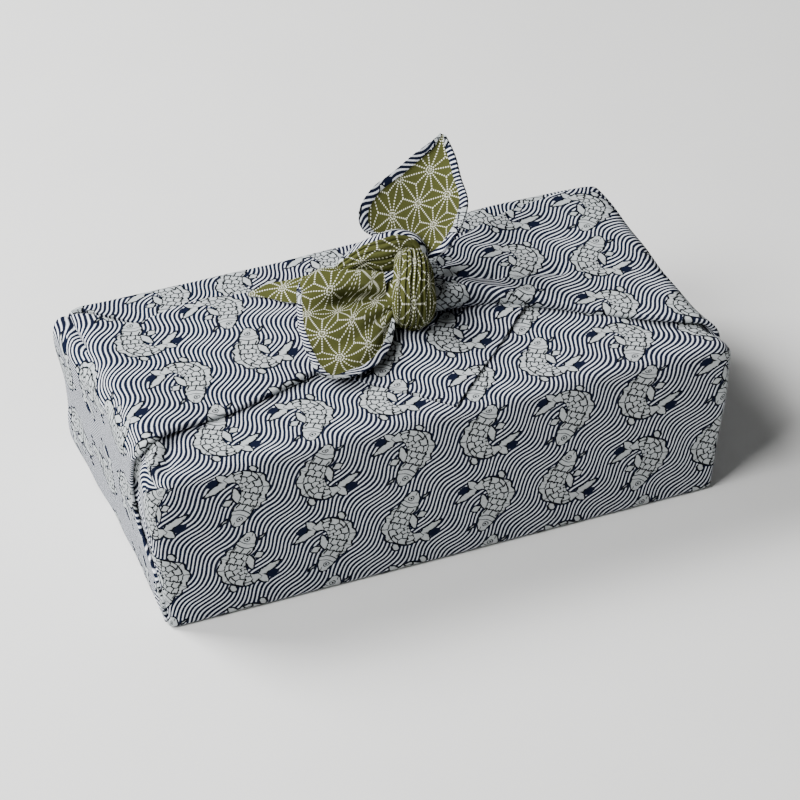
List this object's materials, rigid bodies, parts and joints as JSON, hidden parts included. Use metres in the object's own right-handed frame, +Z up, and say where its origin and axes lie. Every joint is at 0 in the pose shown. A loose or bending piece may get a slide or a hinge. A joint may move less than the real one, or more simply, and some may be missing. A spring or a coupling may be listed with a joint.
{
  "type": "furoshiki wrapped parcel",
  "caption": "Square reversible cloth folded round a long low parcel, its end corners tied on top in a square knot with leaf-shaped tails.",
  "frame": {"origin": "on the floor, under the middle of the cloth's box", "axes": "+X along the parcel to the right of the pointed flap, +Y from the flap's tip towards the back, +Z up"},
  "size_m": [0.313, 0.1658, 0.1646],
  "materials": {
    "cloth": "double-faced cotton jacquard, navy and white waves with pale grey carp outside, olive green with white dotted hemp-leaf stars inside, narrow rolled hem"
  },
  "bodies": {
    "root": {"furoshiki_cloth": "cloth"}
  },
  "joints": []
}
